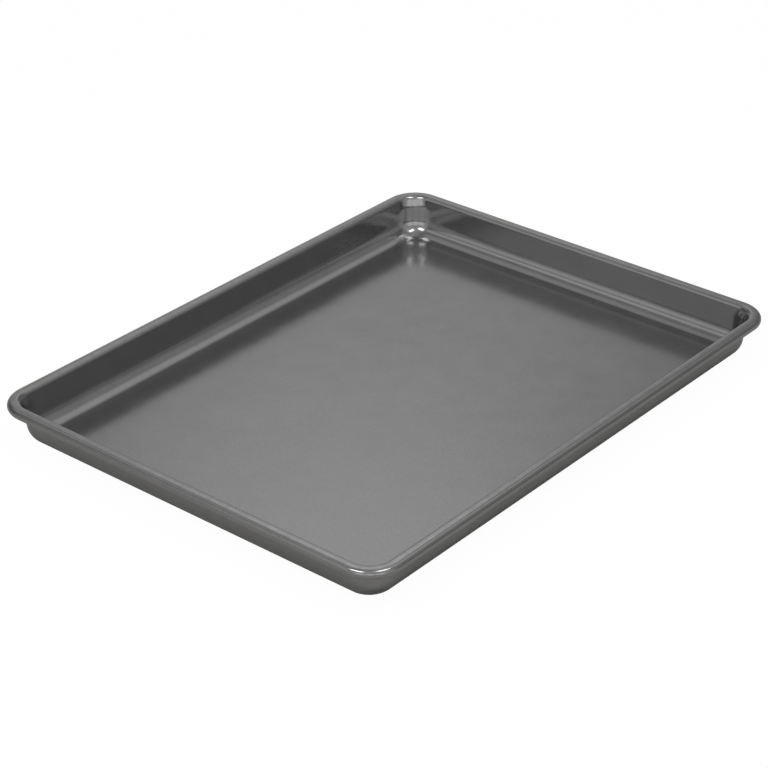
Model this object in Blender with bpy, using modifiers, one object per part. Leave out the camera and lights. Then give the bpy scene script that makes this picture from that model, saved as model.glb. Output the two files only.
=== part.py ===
"""Rimmed cookie sheet: one pressed steel sheet whose edge is rolled over a stiffening wire.

The tray stands on the plane z = 0 with its middle over the origin, its long side along X.
Sizes are in metres. A cross-section of the sheet is given by points, each with an offset
from the outermost line of the rim (negative towards the middle) and a height.
"""

from math import cos, pi, radians, sin, tan

import bmesh
import bpy

LENGTH = 0.4318  # over the rim
WIDTH = 0.3295  # over the rim
HEIGHT = 0.0304  # from the underside of the floor to the top of the rim
SHEET = 0.0008  # thickness of the coated steel
WALL_DRAFT = radians(3.8)  # the walls lean outwards by this angle
FLOOR_FILLET = 0.0128  # inside radius between the floor and the wall
RIM_BEND = 0.0032  # outside radius between the wall and the rim's flat strip
RIM_FLAT = 0.0028  # flat strip between that bend and the roll
RIM_CORNER = 0.0240  # radius of the rim's outermost line in plan
CORNER_EASE = 0.0052  # how much wider the walls turn the corner than the rim does
EASE_DEPTH = 0.0090  # depth below the rim at which the walls have eased to that
WIRE_DIAMETER = 0.0044
WIRE_CLEARANCE = 0.0003  # between the wire and the roll around it
WIRE_BUTT_GAP = 0.0010  # between the two ends of the wire
ROLL_TURN = radians(288)  # how far the roll goes round the wire, from its top to its free edge

FILLET_STEPS = 7
WALL_STEPS = 5
BEND_STEPS = 5
ROLL_STEPS = 16
CORNER_STEPS = 10
WIRE_SIDE_RESOLUTION = 3
MERGE = 0.00001

COATING_COLOUR = (0.085, 0.085, 0.084, 1.0)
WIRE_COLOUR = (0.46, 0.45, 0.43, 1.0)

ROLL_RADIUS = WIRE_DIAMETER / 2 + WIRE_CLEARANCE + SHEET
QUARTER_TURN = pi / 2


def clear_scene():
    for found in list(bpy.data.objects):
        bpy.data.objects.remove(found, do_unlink=True)


def make_material(name, colour, roughness, metallic):
    material = bpy.data.materials.new(name)
    material.use_nodes = True
    shader = material.node_tree.nodes["Principled BSDF"]
    shader.inputs["Base Color"].default_value = colour
    shader.inputs["Roughness"].default_value = roughness
    shader.inputs["Metallic"].default_value = metallic
    material.diffuse_color = colour
    return material


def arc(centre, radius, start, end, steps):
    """Points from the angle start to the angle end, both included."""
    points = []
    for step in range(steps + 1):
        angle = start + (end - start) * step / steps
        points.append((centre[0] + radius * cos(angle), centre[1] + radius * sin(angle)))
    return points


def line(start, end, steps):
    """Points between start and end, both left out."""
    return [
        (start[0] + (end[0] - start[0]) * step / steps, start[1] + (end[1] - start[1]) * step / steps)
        for step in range(1, steps)
    ]


def ease_at(height):
    """How much wider than the rim the tray turns its corner at this height."""
    share = min(1.0, (HEIGHT - height) / EASE_DEPTH)
    return CORNER_EASE * share * share * (3 - 2 * share)


def sheet_section():
    """The cooking side of the sheet, from the floor's edge over the rim to the roll's free edge.

    Each point is (offset, height, ease of the corner).
    """
    bend_centre = (-ROLL_RADIUS - RIM_FLAT, HEIGHT - RIM_BEND)
    bend = arc(bend_centre, RIM_BEND, pi - WALL_DRAFT, QUARTER_TURN, BEND_STEPS)
    wall_top_offset, wall_top_height = bend[0]

    fillet_height = SHEET + FLOOR_FILLET
    wall_foot_height = fillet_height - FLOOR_FILLET * sin(WALL_DRAFT)
    wall_foot_offset = wall_top_offset - (wall_top_height - wall_foot_height) * tan(WALL_DRAFT)
    fillet_centre = (wall_foot_offset - FLOOR_FILLET * cos(WALL_DRAFT), fillet_height)
    fillet = arc(fillet_centre, FLOOR_FILLET, -QUARTER_TURN, -WALL_DRAFT, FILLET_STEPS)

    bowl = fillet + line(fillet[-1], bend[0], WALL_STEPS) + bend

    roll_centre = (-ROLL_RADIUS, HEIGHT - ROLL_RADIUS)
    roll = arc(roll_centre, ROLL_RADIUS, QUARTER_TURN, QUARTER_TURN - ROLL_TURN, ROLL_STEPS)
    return [(*point, ease_at(point[1])) for point in bowl] + [(*point, 0.0) for point in roll]


def corner_line(offset, height, ease):
    """The corner in +X and +Y of a line round the tray, from the +Y side round to the +X side."""
    turn = RIM_CORNER + ease
    centre = (LENGTH / 2 - turn, WIDTH / 2 - turn)
    return [(x, y, height) for x, y in arc(centre, turn + offset, QUARTER_TURN, 0.0, CORNER_STEPS)]


def quarter_line(offset, height, ease):
    """A quarter of a line round the tray, from the plane x = 0 to the plane y = 0."""
    start = (0.0, WIDTH / 2 + offset, height)
    end = (LENGTH / 2 + offset, 0.0, height)
    return [start] + corner_line(offset, height, ease) + [end]


def add_mirror(piece, name, axis):
    mirror = piece.modifiers.new(name, "MIRROR")
    mirror.use_axis = [number == axis for number in range(3)]
    mirror.merge_threshold = MERGE


def make_pan(collection, material):
    """A quarter of the sheet's upper face as a shaped grid and a flat floor, mirrored and thickened."""
    lines = [quarter_line(*place) for place in sheet_section()]
    across = len(lines[0])
    mesh = bmesh.new()
    bmesh.ops.create_grid(mesh, x_segments=across - 1, y_segments=len(lines) - 1)
    mesh.verts.ensure_lookup_table()
    for vertex, point in zip(mesh.verts, [point for line in lines for point in line]):
        vertex.co = point
    floor_middle = mesh.verts.new((0.0, 0.0, SHEET))
    mesh.verts.ensure_lookup_table()
    mesh.faces.new([floor_middle] + mesh.verts[:across])
    bmesh.ops.recalc_face_normals(mesh, faces=mesh.faces)
    data = bpy.data.meshes.new("pan_body")
    mesh.to_mesh(data)
    mesh.free()
    data.shade_smooth()
    data.materials.append(material)
    pan = bpy.data.objects.new("pan_body", data)
    collection.objects.link(pan)
    add_mirror(pan, "mirror_length", 0)
    add_mirror(pan, "mirror_width", 1)
    thicken = pan.modifiers.new("sheet_thickness", "SOLIDIFY")
    thicken.thickness = SHEET
    thicken.offset = -1.0
    thicken.use_even_offset = True


def wire_line():
    """The wire's middle line, once round the tray, from one side of its butt joint to the other."""
    offset = -ROLL_RADIUS
    height = HEIGHT - ROLL_RADIUS
    first = corner_line(offset, height, 0.0)
    corners = [
        first,
        [(x, -y, z) for x, y, z in reversed(first)],
        [(-x, -y, z) for x, y, z in first],
        [(-x, y, z) for x, y, z in reversed(first)],
    ]
    start = (WIRE_BUTT_GAP / 2, WIDTH / 2 + offset, height)
    end = (-WIRE_BUTT_GAP / 2, WIDTH / 2 + offset, height)
    return [start] + [point for corner in corners for point in corner] + [end]


def make_wire(collection, material):
    line = wire_line()
    data = bpy.data.curves.new("rim_wire", "CURVE")
    data.dimensions = "3D"
    data.twist_mode = "Z_UP"
    data.bevel_depth = WIRE_DIAMETER / 2
    data.bevel_resolution = WIRE_SIDE_RESOLUTION
    data.use_fill_caps = True
    spline = data.splines.new("POLY")
    spline.points.add(len(line) - 1)
    for point, place in zip(spline.points, line):
        point.co = (*place, 1.0)
    spline.use_smooth = True
    data.materials.append(material)
    collection.objects.link(bpy.data.objects.new("rim_wire", data))


def main():
    clear_scene()
    collection = bpy.data.collections.new("cookie_sheet")
    bpy.context.scene.collection.children.link(collection)
    coating = make_material("nonstick_coated_steel", COATING_COLOUR, roughness=0.38, metallic=0.6)
    bare_wire = make_material("bare_steel_wire", WIRE_COLOUR, roughness=0.4, metallic=1.0)
    make_pan(collection, coating)
    make_wire(collection, bare_wire)


main()
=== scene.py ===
"""Looks of the rimmed cookie sheet: a pressed and coated steel tray on a white table.

The tray stands on the plane z = 0 with its middle over the origin and its long side along X.
All sizes are in metres. A place across the rim is given by its offset from the rim's outermost
line (negative towards the middle of the tray) and its height.
"""

from math import cos, pi, radians, sin, tan

import bmesh
import bpy
from mathutils import Matrix, Vector, noise


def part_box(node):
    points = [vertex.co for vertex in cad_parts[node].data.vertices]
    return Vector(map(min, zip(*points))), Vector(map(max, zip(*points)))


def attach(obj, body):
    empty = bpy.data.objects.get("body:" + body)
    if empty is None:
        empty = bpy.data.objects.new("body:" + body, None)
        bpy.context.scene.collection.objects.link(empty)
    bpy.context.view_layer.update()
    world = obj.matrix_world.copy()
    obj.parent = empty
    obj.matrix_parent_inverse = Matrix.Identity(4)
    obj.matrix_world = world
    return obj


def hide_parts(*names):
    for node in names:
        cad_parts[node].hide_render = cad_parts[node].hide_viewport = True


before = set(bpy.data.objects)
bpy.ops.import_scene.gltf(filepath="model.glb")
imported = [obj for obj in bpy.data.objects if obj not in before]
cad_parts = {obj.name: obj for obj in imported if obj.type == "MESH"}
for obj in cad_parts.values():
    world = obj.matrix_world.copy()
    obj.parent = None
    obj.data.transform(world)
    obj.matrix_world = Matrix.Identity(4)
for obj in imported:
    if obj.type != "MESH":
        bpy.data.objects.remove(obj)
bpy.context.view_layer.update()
pan_low, pan_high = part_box("pan_body")

LENGTH = pan_high.x - pan_low.x  # over the rim
WIDTH = pan_high.y - pan_low.y  # over the rim
HEIGHT = pan_high.z  # from the floor that the tray stands on to the top of the rim
SHEET = 0.0008  # thickness of the coated steel
WALL_DRAFT = radians(3.8)  # the walls lean outwards by this angle
FLOOR_FILLET = 0.0128  # inside radius between the floor and the wall
RIM_BEND = 0.0032  # outside radius between the wall and the rim's flat strip
RIM_FLAT = 0.0028  # flat strip between that bend and the roll
RIM_CORNER = 0.0240  # radius of the rim's outermost line in plan
CORNER_EASE = 0.0052  # how much wider the walls turn the corner than the rim does
EASE_DEPTH = 0.0090  # depth below the rim at which the walls have eased to that
WIRE_DIAMETER = 0.0044
WIRE_CLEARANCE = 0.0003  # between the wire and the roll around it
WIRE_BUTT_GAP = 0.0010  # between the two ends of the wire
ROLL_TURN = radians(288)  # how far the roll goes round the wire
SHEARED_EDGE = 0.0002  # rounding of the sheet's free edge
SHEARED_ANGLE = radians(50)  # only edges sharper than this are rounded
UNEVENNESS = 0.00004  # half the most that the pressed sheet may stray along an axis
UNEVEN_PATCH = 0.045  # how long one hollow or swelling of the sheet is
UNEVEN_SEED = 1  # keeps the unevenness the same at each run, where 0 would take it from the clock

FLAT_STEPS = 2
FILLET_STEPS = 20
WALL_STEPS = 12
BEND_STEPS = 12
ROLL_STEPS = 48
CORNER_STEPS = 24
SIDE_STEP = 0.009  # at most, between two rows of faces along a straight side
WIRE_SIDES = 24
SHEARED_STEPS = 2
MERGE = 0.00001

ROLL_RADIUS = WIRE_DIAMETER / 2 + WIRE_CLEARANCE + SHEET
QUARTER_TURN = pi / 2
# The upright axis that the corner in +X and +Y turns about
CORNER_X = LENGTH / 2 - RIM_CORNER
CORNER_Y = WIDTH / 2 - RIM_CORNER

# The camera: where it looks from and how far the object's middle lies off its axis
CAMERA_AZIMUTH = radians(-49.6250)
CAMERA_ELEVATION = radians(29.5980)
CAMERA_ROLL = radians(-0.5669)
CAMERA_DISTANCE = 1.60340
CAMERA_ACROSS = -0.007892
CAMERA_RAISED = 0.006513
FOCAL_PIXELS = 2348.06
IMAGE_PIXELS = 768
SENSOR = 36.0

WHITE = (1.0, 1.0, 1.0, 1.0)
TABLE_SIZE = 3.0  # from the middle of the table to its edges
TABLE_TONE = (0.6, 0.595, 0.575, 1.0)  # how much of its light the table gives back to the tray
TABLE_ROUGHNESS = 0.8
TABLE_WASH = 0.93  # how far the camera sees the table as plain white
TABLE_GLOW = 1.045  # brightness of that white
SOFTBOX_DISTANCE = 1.6
SURROUNDING_LEVEL = 0.5  # brightness outside the regions below
# Broad regions: bearing, elevation, inner and outer radius in degrees, added brightness
SURROUNDINGS = [
    (-2.0, 37.0, 2.0, 9.0, 0.34),
    (-50.0, 50.0, 6.0, 21.0, 0.3),
    (42.0, 56.0, 3.0, 22.0, 0.4),
    (-70.0, 34.0, 10.0, 62.0, -0.35),
    (62.0, 28.0, 39.0, 52.0, -0.28),
    (-114.0, 42.0, 20.0, 30.0, 0.14),
    (97.0, 45.0, 12.0, 32.0, 0.15),
    (-152.0, 16.0, 8.0, 17.0, 0.5),
    (180.0, 16.0, 8.0, 17.0, 0.5),
    (152.0, 16.0, 8.0, 17.0, 0.5),
    (-96.0, 41.0, 2.0, 9.0, 0.45),
    (-105.0, 20.0, 4.0, 13.0, 0.3),
]
# Name, bearing and elevation in degrees, width, height, radiance
SOFTBOXES = [
    ("left_softbox", -134.0, 58.0, 0.7, 0.36, 4.4),
    ("right_softbox", 128.0, 67.0, 0.6, 0.3, 5.0),
]

# Two greys of the coating between its specks and two of the specks, darker and lighter by patches
COATING_DARK = (0.325, 0.325, 0.325)
COATING_LIGHT = (0.35, 0.35, 0.349)
SPECK_DARK = (0.36, 0.36, 0.36)
SPECK_LIGHT = (0.385, 0.385, 0.384)
# Lighter colour of the rim's top: partly wear, partly a painted highlight
RIM_WEAR_AND_HIGHLIGHT_COLOUR = (0.42, 0.418, 0.412)
COATING_METALLIC = 0.97
COATING_ROUGHNESS = (0.16, 0.19)  # in its darker and its lighter patches
RUBBED_POLISH = 0.04  # how much less rough the spots of rim wear and painted highlight are
GRAIN = 0.0012  # between two specks of the coating's grain
GRAIN_RELIEF = 0.000004
MOTTLE = 0.022  # across one lighter or darker patch of the coating
RIM_WEAR_AND_HIGHLIGHT_DEPTH = 0.0006  # how far below its top the rim is painted a little brighter, partly as wear and partly as a painted highlight
RIM_WEAR_AND_HIGHLIGHT_SPOT = 0.006  # across one spot of rim wear and painted highlight

STAINED_WIRE = (0.38, 0.365, 0.34)
BRIGHT_WIRE = (0.5, 0.49, 0.47)
WIRE_ROUGHNESS = (0.46, 0.34)  # where it is stained and where it is bright
DRAWN_LINE = 0.0003  # between two fine marks of the wire
DRAWN_RELIEF = 0.000006
WIRE_STAIN = 0.009  # across one stain

# Detail of the noise behind the grain and the mottling, and the part of its range that is used
GRAIN_DETAIL = 2.0
MOTTLE_DETAIL = 3.0
NOISE_LOW = 0.3
NOISE_HIGH = 0.7

# Numbers of the mix node's colour sockets, because its sockets for values have the same names
MIX_COLOUR_INPUTS = (6, 7)
MIX_COLOUR_OUTPUT = 2


def across(offset):
    """The x of a place across the rim, on the tray's short side."""
    return LENGTH / 2 + offset


def arc_from(mesh, vertex, centre, angle, steps):
    """Turns a vertex about a centre in the plane of the section and returns the arc's last vertex."""
    spun = bmesh.ops.spin(
        mesh, geom=[vertex], cent=centre, axis=(0.0, 1.0, 0.0), angle=angle, steps=steps, use_duplicate=False
    )
    return [found for found in spun["geom_last"] if isinstance(found, bmesh.types.BMVert)][0]


def line_from(mesh, vertex, end, steps):
    """Draws a straight line from a vertex to a point and returns the line's last vertex."""
    step = (end - vertex.co) / steps
    for _ in range(steps):
        vertex = bmesh.ops.extrude_vert_indiv(mesh, verts=[vertex])["verts"][0]
        bmesh.ops.translate(mesh, verts=[vertex], vec=step)
    return vertex


def spin_corner(mesh, geometry):
    """Spins a section a quarter turn about the corner's axis and returns the vertices where it ends."""
    spun = bmesh.ops.spin(
        mesh, geom=geometry, cent=(CORNER_X, CORNER_Y, 0.0), axis=(0.0, 0.0, 1.0),
        angle=QUARTER_TURN, steps=CORNER_STEPS, use_duplicate=False,
    )
    return [found for found in spun["geom_last"] if isinstance(found, bmesh.types.BMVert)]


def draw_to_plane(mesh, vertices, flatten):
    """Draws the open edges between these vertices straight to a middle plane of the tray."""
    chosen = set(vertices)
    edges = [edge for edge in mesh.edges if edge.is_boundary and chosen.issuperset(edge.verts)]
    drawn = bmesh.ops.extrude_edge_only(mesh, edges=edges)["geom"]
    ends = [found for found in drawn if isinstance(found, bmesh.types.BMVert)]
    bmesh.ops.scale(mesh, vec=flatten, verts=ends)


def cut_evenly(mesh, length, normal):
    """Cuts the mesh across a straight side into rows of even length."""
    count = round(length / SIDE_STEP)
    for number in range(1, count + 1):
        everything = mesh.verts[:] + mesh.edges[:] + mesh.faces[:]
        place = normal * (length * number / (count + 1))
        bmesh.ops.bisect_plane(mesh, geom=everything, dist=MERGE, plane_co=place, plane_no=normal)


def draw_section(mesh):
    """The cooking side's section, from the corner's axis over floor, wall and rim to the free edge."""
    bend_x, bend_z = across(-ROLL_RADIUS - RIM_FLAT), HEIGHT - RIM_BEND
    wall_top = Vector((bend_x - RIM_BEND * cos(WALL_DRAFT), CORNER_Y, bend_z + RIM_BEND * sin(WALL_DRAFT)))
    foot_z = SHEET + FLOOR_FILLET * (1 - sin(WALL_DRAFT))
    fillet_x = wall_top.x - (wall_top.z - foot_z) * tan(WALL_DRAFT) - FLOOR_FILLET * cos(WALL_DRAFT)
    fillet_centre = (fillet_x, CORNER_Y, SHEET + FLOOR_FILLET)
    vertex = mesh.verts.new((CORNER_X, CORNER_Y, SHEET))
    vertex = line_from(mesh, vertex, Vector((fillet_x, CORNER_Y, SHEET)), 1)
    vertex = arc_from(mesh, vertex, fillet_centre, WALL_DRAFT - QUARTER_TURN, FILLET_STEPS)
    vertex = line_from(mesh, vertex, wall_top, WALL_STEPS)
    vertex = arc_from(mesh, vertex, (bend_x, CORNER_Y, bend_z), QUARTER_TURN - WALL_DRAFT, BEND_STEPS)
    vertex = line_from(mesh, vertex, Vector((across(-ROLL_RADIUS), CORNER_Y, HEIGHT)), FLAT_STEPS)
    arc_from(mesh, vertex, (vertex.co.x, CORNER_Y, HEIGHT - ROLL_RADIUS), ROLL_TURN, ROLL_STEPS)


def draw_quarter(mesh):
    """The corner of the cooking side in +X and +Y, with the straight runs up to the middle planes."""
    draw_section(mesh)
    start = mesh.verts[:]
    end = spin_corner(mesh, mesh.verts[:] + mesh.edges[:])
    draw_to_plane(mesh, start, (1.0, 0.0, 1.0))
    draw_to_plane(mesh, end, (0.0, 1.0, 1.0))
    bmesh.ops.remove_doubles(mesh, verts=mesh.verts, dist=MERGE)

    floor_side = [
        vertex for vertex in mesh.verts
        if abs(vertex.co.x - CORNER_X) < MERGE and vertex.co.y < CORNER_Y + MERGE
    ]
    draw_to_plane(mesh, floor_side, (0.0, 1.0, 1.0))
    cut_evenly(mesh, CORNER_X, Vector((1.0, 0.0, 0.0)))
    cut_evenly(mesh, CORNER_Y, Vector((0.0, 1.0, 0.0)))
    bmesh.ops.remove_doubles(mesh, verts=mesh.verts, dist=MERGE)
    ease_corner(mesh)


def ease_corner(mesh):
    """Below the rim, lets the walls and the floor turn the corner more widely than the rim does."""
    for vertex in mesh.verts:
        x, y, z = vertex.co
        out = Vector((max(0.0, x - CORNER_X), max(0.0, y - CORNER_Y)))
        if out.length > RIM_CORNER - 2 * ROLL_RADIUS - MERGE:
            continue
        share = min(1.0, (HEIGHT - z) / EASE_DEPTH)
        ease = CORNER_EASE * share * share * (3 - 2 * share)
        stretch = 1 + ease / out.length if out.length > MERGE else 1.0
        vertex.co.x = min(x, CORNER_X) * (1 - ease / CORNER_X) + out.x * stretch
        vertex.co.y = min(y, CORNER_Y) * (1 - ease / CORNER_Y) + out.y * stretch


def mirror_all(mesh, axis):
    """Adds the mirror image of the whole mesh across a middle plane of the tray."""
    everything = mesh.verts[:] + mesh.edges[:] + mesh.faces[:]
    bmesh.ops.mirror(mesh, geom=everything, matrix=Matrix.Identity(4), merge_dist=MERGE, axis=axis)


def press_unevenly(mesh):
    """Shifts the sheet by long, very shallow swellings, always inside its true box."""
    noise.seed_set(UNEVEN_SEED)
    half = Vector((LENGTH / 2, WIDTH / 2, HEIGHT / 2))
    for vertex in mesh.verts:
        centred = vertex.co - Vector((0.0, 0.0, half.z))
        shift = noise.noise_vector(vertex.co / UNEVEN_PATCH)
        for axis in range(3):
            vertex.co[axis] += UNEVENNESS * (max(-1.0, min(1.0, shift[axis])) - centred[axis] / half[axis])


def finish_piece(name, mesh, material, stands_for):
    """Makes the mesh a piece of the part, in place of one of the model's solids."""
    data = bpy.data.meshes.new(name)
    mesh.to_mesh(data)
    mesh.free()
    data.materials.append(material)
    piece = bpy.data.objects.new(name, data)
    bpy.context.scene.collection.objects.link(piece)
    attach(piece, "root")
    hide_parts(stands_for)
    return piece


def make_pan(material):
    """The pressed sheet: its cooking side, given its thickness on the other side."""
    mesh = bmesh.new()
    draw_quarter(mesh)
    mirror_all(mesh, "X")
    mirror_all(mesh, "Y")
    bmesh.ops.remove_doubles(mesh, verts=mesh.verts, dist=MERGE)
    bmesh.ops.recalc_face_normals(mesh, faces=mesh.faces)
    press_unevenly(mesh)
    pan = finish_piece("coated_tray", mesh, material, "pan_body")
    thicken = pan.modifiers.new("sheet_thickness", "SOLIDIFY")
    thicken.thickness = SHEET
    thicken.offset = -1.0
    thicken.use_even_offset = True
    soften = pan.modifiers.new("sheared_edge", "BEVEL")
    soften.width = SHEARED_EDGE
    soften.segments = SHEARED_STEPS
    soften.limit_method = "ANGLE"
    soften.angle_limit = SHEARED_ANGLE
    pan.data.shade_smooth()


def make_wire(material):
    """The wire inside the roll, in one length round the tray, its ends at the middle of the +Y side."""
    centre_y = WIDTH / 2 - ROLL_RADIUS
    mesh = bmesh.new()
    place = Matrix.Translation((WIRE_BUTT_GAP / 2, centre_y, HEIGHT - ROLL_RADIUS))
    upright = Matrix.Rotation(QUARTER_TURN, 4, "Y")
    bmesh.ops.create_circle(
        mesh, segments=WIRE_SIDES, radius=WIRE_DIAMETER / 2, matrix=place @ upright
    )
    ring = mesh.edges[:]
    runs = [
        Vector((CORNER_X - WIRE_BUTT_GAP / 2, 0.0, 0.0)),
        Vector((0.0, -2 * CORNER_Y, 0.0)),
        Vector((-CORNER_X, 0.0, 0.0)),
    ]
    for step in runs:
        drawn = bmesh.ops.extrude_edge_only(mesh, edges=ring)["geom"]
        moved = [found for found in drawn if isinstance(found, bmesh.types.BMVert)]
        bmesh.ops.translate(mesh, verts=moved, vec=step)
        ring = [found for found in drawn if isinstance(found, bmesh.types.BMEdge) and found.is_boundary]
        if step.x < 0:
            break
        spun = bmesh.ops.spin(
            mesh, geom=moved + ring, cent=(CORNER_X, CORNER_Y if step.x > 0 else -CORNER_Y, 0.0),
            axis=(0.0, 0.0, -1.0), angle=QUARTER_TURN, steps=CORNER_STEPS, use_duplicate=False,
        )
        ring = [found for found in spun["geom_last"] if isinstance(found, bmesh.types.BMEdge)]
    mirror_all(mesh, "X")
    bmesh.ops.remove_doubles(mesh, verts=mesh.verts, dist=MERGE)
    cut_ends = [edge for edge in mesh.edges if edge.is_boundary]
    bmesh.ops.holes_fill(mesh, edges=cut_ends, sides=WIRE_SIDES)
    bmesh.ops.recalc_face_normals(mesh, faces=mesh.faces)
    for face in mesh.faces:
        face.smooth = True
    for edge in cut_ends:
        edge.smooth = False
    finish_piece("stiffening_wire", mesh, material, "rim_wire")


def make_camera():
    """The camera at the photograph's angle, distance and focal length."""
    toward = Vector((
        sin(CAMERA_AZIMUTH) * cos(CAMERA_ELEVATION),
        -cos(CAMERA_AZIMUTH) * cos(CAMERA_ELEVATION),
        sin(CAMERA_ELEVATION),
    ))
    right = Vector((cos(CAMERA_AZIMUTH), sin(CAMERA_AZIMUTH), 0.0))
    up = toward.cross(right)
    turned_right = right * cos(CAMERA_ROLL) + up * sin(CAMERA_ROLL)
    turned_up = up * cos(CAMERA_ROLL) - right * sin(CAMERA_ROLL)
    data = bpy.data.cameras.new("photo_camera")
    data.sensor_width = SENSOR
    data.lens = SENSOR * FOCAL_PIXELS / IMAGE_PIXELS
    camera = bpy.data.objects.new("photo_camera", data)
    bpy.context.scene.collection.objects.link(camera)
    turn = Matrix((turned_right, turned_up, toward)).transposed().to_4x4()
    place = toward * CAMERA_DISTANCE + right * CAMERA_ACROSS + up * CAMERA_RAISED
    camera.matrix_world = Matrix.Translation(place) @ turn
    bpy.context.scene.camera = camera


def compass(bearing, elevation):
    """The direction at a bearing, positive to the right of the camera's line of sight, and an elevation."""
    turned = CAMERA_AZIMUTH - radians(bearing)
    level = cos(radians(elevation))
    return Vector((-sin(turned) * level, cos(turned) * level, sin(radians(elevation))))


def join(tree, *pairs):
    """Links each pair of sockets, from an output to an input."""
    for source, target in pairs:
        tree.links.new(source, target)


def metal_grain_group():
    """Fine grain and broad mottling of a metal surface, each from 0 to 1, for sizes in metres."""
    group = bpy.data.node_groups.new("metal_grain", "ShaderNodeTree")
    sockets = group.interface
    sockets.new_socket(name="Vector", in_out="INPUT", socket_type="NodeSocketVector")
    outer = group.nodes.new("NodeGroupInput")
    result = group.nodes.new("NodeGroupOutput")
    for name, detail in (("Grain", GRAIN_DETAIL), ("Mottle", MOTTLE_DETAIL)):
        sockets.new_socket(name=name + " Size", in_out="INPUT", socket_type="NodeSocketFloat")
        sockets.new_socket(name=name, in_out="OUTPUT", socket_type="NodeSocketFloat")
        scale = group.nodes.new("ShaderNodeMath")
        scale.operation = "DIVIDE"
        scale.inputs[0].default_value = 1.0
        cloud = group.nodes.new("ShaderNodeTexNoise")
        cloud.inputs["Detail"].default_value = detail
        stretch = group.nodes.new("ShaderNodeMapRange")
        stretch.inputs["From Min"].default_value = NOISE_LOW
        stretch.inputs["From Max"].default_value = NOISE_HIGH
        join(
            group,
            (outer.outputs[name + " Size"], scale.inputs[1]),
            (outer.outputs["Vector"], cloud.inputs["Vector"]),
            (scale.outputs["Value"], cloud.inputs["Scale"]),
            (cloud.outputs["Fac"], stretch.inputs["Value"]),
            (stretch.outputs["Result"], result.inputs[name]),
        )
    return group


def add_grain(tree, grain_group, vector, grain, mottle):
    """Places the grain group in a material and returns its node."""
    node = tree.nodes.new("ShaderNodeGroup")
    node.node_tree = grain_group
    node.inputs["Grain Size"].default_value = grain
    node.inputs["Mottle Size"].default_value = mottle
    join(tree, (vector, node.inputs["Vector"]))
    return node


def blend_colours(tree, share, dark, light):
    """A colour between two, by a share from 0 to 1; either may be a socket."""
    mix = tree.nodes.new("ShaderNodeMix")
    mix.data_type = "RGBA"
    join(tree, (share, mix.inputs["Factor"]))
    for number, colour in zip(MIX_COLOUR_INPUTS, (dark, light)):
        socket = mix.inputs[number]
        if isinstance(colour, bpy.types.NodeSocket):
            join(tree, (colour, socket))
        else:
            socket.default_value = (*colour, 1.0)
    return mix.outputs[MIX_COLOUR_OUTPUT]


def spread_value(tree, share, values):
    """A value between the first and the second, by a share from 0 to 1."""
    spread = tree.nodes.new("ShaderNodeMapRange")
    spread.inputs["To Min"].default_value = values[0]
    spread.inputs["To Max"].default_value = values[1]
    join(tree, (share, spread.inputs["Value"]))
    return spread.outputs["Result"]


def multiply(tree, first, second):
    """The product of a socket and either a second socket or a number."""
    product = tree.nodes.new("ShaderNodeMath")
    product.operation = "MULTIPLY"
    join(tree, (first, product.inputs[0]))
    if isinstance(second, bpy.types.NodeSocket):
        join(tree, (second, product.inputs[1]))
    else:
        product.inputs[1].default_value = second
    return product.outputs["Value"]


def subtract(tree, first, second):
    """The first socket's value less the second's."""
    difference = tree.nodes.new("ShaderNodeMath")
    difference.operation = "SUBTRACT"
    join(tree, (first, difference.inputs[0]), (second, difference.inputs[1]))
    return difference.outputs["Value"]


def add_relief(tree, height, depth, shader):
    """Fine relief of the surface, of a depth in metres."""
    bump = tree.nodes.new("ShaderNodeBump")
    bump.inputs["Distance"].default_value = depth
    join(tree, (height, bump.inputs["Height"]), (bump.outputs["Normal"], shader.inputs["Normal"]))


def make_coating(grain_group):
    """Dark grey, half glossy coating: fine grain, faint mottling, and a rim top painted a little brighter,
    partly as wear and partly as a painted highlight.
    """
    material = bpy.data.materials.new("nonstick_coated_steel")
    material.use_nodes = True
    tree = material.node_tree
    shader = tree.nodes["Principled BSDF"]
    shader.inputs["Metallic"].default_value = COATING_METALLIC
    place = tree.nodes.new("ShaderNodeTexCoord").outputs["Object"]
    skin = add_grain(tree, grain_group, place, GRAIN, MOTTLE)
    # Spots of the rim top's lighter colour, partly wear and partly a painted highlight
    wear_and_highlight_spots = add_grain(tree, grain_group, place, GRAIN, RIM_WEAR_AND_HIGHLIGHT_SPOT)

    height = tree.nodes.new("ShaderNodeSeparateXYZ")
    crest = tree.nodes.new("ShaderNodeMapRange")
    crest.interpolation_type = "SMOOTHSTEP"
    crest.inputs["From Min"].default_value = HEIGHT - RIM_WEAR_AND_HIGHLIGHT_DEPTH
    crest.inputs["From Max"].default_value = HEIGHT
    join(tree, (place, height.inputs["Vector"]), (height.outputs["Z"], crest.inputs["Value"]))
    # Mask of the rim top's lighter colour: partly wear, partly a painted highlight
    wear_and_highlight_mask = multiply(tree, crest.outputs["Result"], wear_and_highlight_spots.outputs["Mottle"])

    between_specks = blend_colours(tree, skin.outputs["Mottle"], COATING_DARK, COATING_LIGHT)
    specks = blend_colours(tree, skin.outputs["Mottle"], SPECK_DARK, SPECK_LIGHT)
    coated = blend_colours(tree, skin.outputs["Grain"], between_specks, specks)
    # Paints the rim top lighter: partly wear, partly a painted highlight
    worn_and_highlit = blend_colours(tree, wear_and_highlight_mask, coated, RIM_WEAR_AND_HIGHLIGHT_COLOUR)
    roughness = spread_value(tree, skin.outputs["Mottle"], COATING_ROUGHNESS)
    polish = multiply(tree, wear_and_highlight_mask, RUBBED_POLISH)
    join(
        tree,
        (worn_and_highlit, shader.inputs["Base Color"]),
        (subtract(tree, roughness, polish), shader.inputs["Roughness"]),
    )
    add_relief(tree, skin.outputs["Grain"], GRAIN_RELIEF, shader)
    return material


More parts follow.
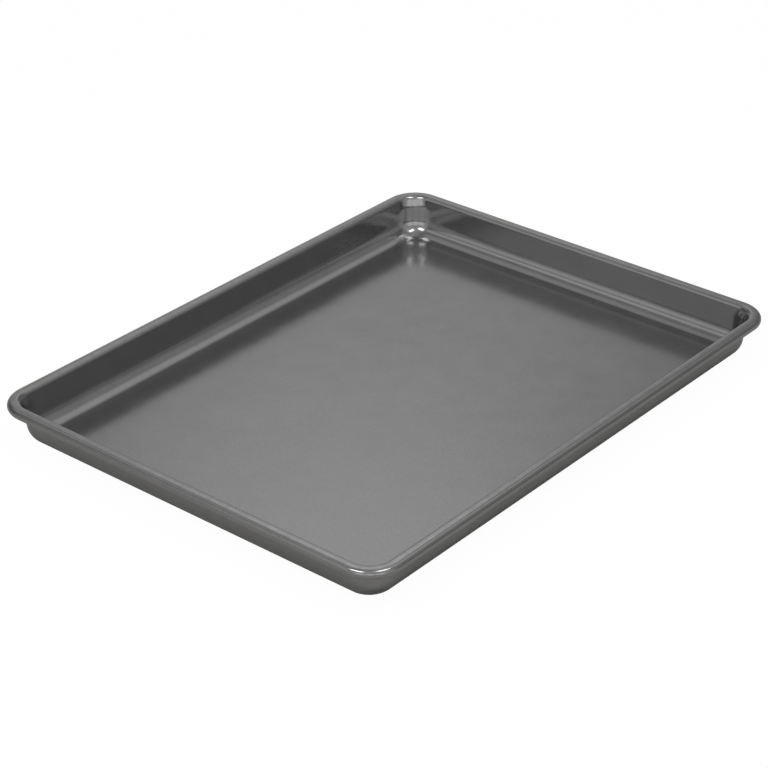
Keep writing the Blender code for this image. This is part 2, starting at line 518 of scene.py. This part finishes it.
def make_wire_steel(grain_group):
    """Bare drawn steel with fine marks and a few duller stains."""
    material = bpy.data.materials.new("bare_steel_wire")
    material.use_nodes = True
    tree = material.node_tree
    shader = tree.nodes["Principled BSDF"]
    shader.inputs["Metallic"].default_value = 1.0
    place = tree.nodes.new("ShaderNodeTexCoord").outputs["Object"]
    steel = add_grain(tree, grain_group, place, DRAWN_LINE, WIRE_STAIN)
    stained = blend_colours(tree, steel.outputs["Mottle"], STAINED_WIRE, BRIGHT_WIRE)
    join(
        tree,
        (stained, shader.inputs["Base Color"]),
        (spread_value(tree, steel.outputs["Mottle"], WIRE_ROUGHNESS), shader.inputs["Roughness"]),
    )
    add_relief(tree, steel.outputs["Grain"], DRAWN_RELIEF, shader)
    return material


def make_table():
    """A white table top, so bright that its shadows nearly vanish for the camera."""
    mesh = bmesh.new()
    bmesh.ops.create_grid(mesh, x_segments=1, y_segments=1, size=TABLE_SIZE)
    data = bpy.data.meshes.new("white_table")
    mesh.to_mesh(data)
    mesh.free()
    material = bpy.data.materials.new("white_table_top")
    material.use_nodes = True
    tree = material.node_tree
    shader = tree.nodes["Principled BSDF"]
    shader.inputs["Base Color"].default_value = TABLE_TONE
    shader.inputs["Roughness"].default_value = TABLE_ROUGHNESS
    glow = tree.nodes.new("ShaderNodeEmission")
    glow.inputs["Color"].default_value = WHITE
    glow.inputs["Strength"].default_value = TABLE_GLOW
    seen = tree.nodes.new("ShaderNodeLightPath")
    share = tree.nodes.new("ShaderNodeMath")
    share.operation = "MULTIPLY"
    share.inputs[1].default_value = TABLE_WASH
    blend = tree.nodes.new("ShaderNodeMixShader")
    join(
        tree,
        (seen.outputs["Is Camera Ray"], share.inputs[0]),
        (share.outputs["Value"], blend.inputs["Fac"]),
        (shader.outputs["BSDF"], blend.inputs[1]),
        (glow.outputs["Emission"], blend.inputs[2]),
        (blend.outputs["Shader"], tree.nodes["Material Output"].inputs["Surface"]),
    )
    data.materials.append(material)
    table = bpy.data.objects.new("white_table", data)
    bpy.context.scene.collection.objects.link(table)


def make_softbox(name, bearing, elevation, width, height, radiance):
    """A rectangular light that faces the middle of the tray."""
    data = bpy.data.lights.new(name, "AREA")
    data.shape = "RECTANGLE"
    data.size = width
    data.size_y = height
    data.energy = radiance * pi * width * height
    toward = compass(bearing, elevation)
    softbox = bpy.data.objects.new(name, data)
    bpy.context.scene.collection.objects.link(softbox)
    turn = toward.to_track_quat("Z", "Y").to_matrix().to_4x4()
    softbox.matrix_world = Matrix.Translation(toward * SOFTBOX_DISTANCE) @ turn


def make_studio():
    """The soft surroundings: an even grey-white with broad lighter and darker regions."""
    world = bpy.data.worlds.new("studio")
    world.use_nodes = True
    tree = world.node_tree
    place = tree.nodes.new("ShaderNodeTexCoord").outputs["Generated"]
    total = None
    for bearing, elevation, inner, outer, strength in SURROUNDINGS:
        turn = tree.nodes.new("ShaderNodeVectorMath")
        turn.operation = "DOT_PRODUCT"
        turn.inputs[1].default_value = compass(bearing, elevation)
        fade = tree.nodes.new("ShaderNodeMapRange")
        fade.interpolation_type = "SMOOTHSTEP"
        fade.inputs["From Min"].default_value = cos(radians(outer))
        fade.inputs["From Max"].default_value = cos(radians(inner))
        fade.inputs["To Min"].default_value = 0.0
        fade.inputs["To Max"].default_value = strength
        add = tree.nodes.new("ShaderNodeMath")
        add.operation = "ADD"
        # The first region is added to this level, each later one to the sum before it
        add.inputs[1].default_value = SURROUNDING_LEVEL
        join(
            tree,
            (place, turn.inputs[0]),
            (turn.outputs["Value"], fade.inputs["Value"]),
            (fade.outputs["Result"], add.inputs[0]),
        )
        if total is not None:
            join(tree, (total, add.inputs[1]))
        total = add.outputs["Value"]
    join(tree, (total, tree.nodes["Background"].inputs["Strength"]))
    tree.nodes["Background"].inputs["Color"].default_value = WHITE
    bpy.context.scene.world = world
    bpy.context.scene.view_settings.view_transform = "Standard"


make_camera()
make_table()
make_studio()
for softbox in SOFTBOXES:
    make_softbox(*softbox)
metal_grain = metal_grain_group()
make_pan(make_coating(metal_grain))
make_wire(make_wire_steel(metal_grain))
